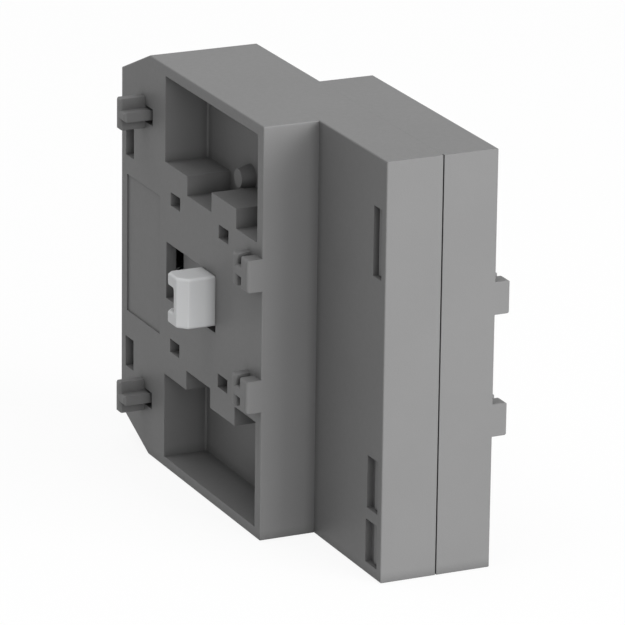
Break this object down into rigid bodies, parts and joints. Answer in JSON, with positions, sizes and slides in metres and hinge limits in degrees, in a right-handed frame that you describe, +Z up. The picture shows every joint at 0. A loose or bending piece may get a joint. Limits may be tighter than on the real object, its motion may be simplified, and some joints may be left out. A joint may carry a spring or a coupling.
{
  "type": "mechanical interlock",
  "caption": "Mechanical interlock that hooks between neighbouring contactors of different depth, with sliding noses joined by an inner rocker so that both never pull in together.",
  "frame": {"origin": "middle of the underside's bounding box", "axes": "+Z up, -Y the front, where the contactors' fronts are, +X the right side"},
  "size_m": [0.0536, 0.106, 0.09],
  "materials": {
    "housing_plastic": "fine textured moulding",
    "ground_steel": "ground",
    "washer_steel": "stamped",
    "spring_steel": "drawn wire",
    "slide_plastic": "smooth moulding",
    "nose_plastic": "smooth satin moulding",
    "bush_bronze": "sintered",
    "sleeve_plastic": "turned"
  },
  "bodies": {
    "housing": {"left_housing": "housing_plastic", "right_housing": "housing_plastic", "rear_cover": "housing_plastic", "pivot_pin": "ground_steel", "left_guide_rod": "ground_steel", "right_guide_rod": "ground_steel", "lower_washer": "washer_steel", "upper_washer": "washer_steel", "return_spring": "spring_steel"},
    "left_carriage": {"left_slide": "slide_plastic", "left_nose": "nose_plastic"},
    "right_carriage": {"right_slide": "slide_plastic", "right_nose": "nose_plastic"},
    "rocking_lever": {"rocker": "slide_plastic", "pivot_bush": "bush_bronze", "left_drive_pin": "ground_steel", "right_drive_pin": "ground_steel", "left_drive_sleeve": "sleeve_plastic", "right_drive_sleeve": "sleeve_plastic", "left_sleeve_clip": "washer_steel", "right_sleeve_clip": "washer_steel"}
  },
  "joints": [
    {"name": "left_travel", "type": "slide", "parent": "housing", "child": "left_carriage", "axis": [0, 1, 0], "range_m": [0, 0.008], "stiffness_N_per_m": 60, "springref_m": -0.004, "deforming": ["return_spring"]},
    {"name": "right_travel", "type": "slide", "parent": "housing", "child": "right_carriage", "axis": [0, 1, 0], "range_m": [-0.008, 0]},
    {"name": "rocker_pivot", "type": "hinge", "parent": "housing", "child": "rocking_lever", "pos_m": [0, -0.0075, 0.045], "axis": [0, 0, 1], "range_deg": [-47, 0]}
  ],
  "couplings": [
    {"joint": "right_travel", "follows": "left_travel", "ratio": -1},
    {"joint": "rocker_pivot", "follows": "left_travel", "rad_per_m": -97.7}
  ]
}
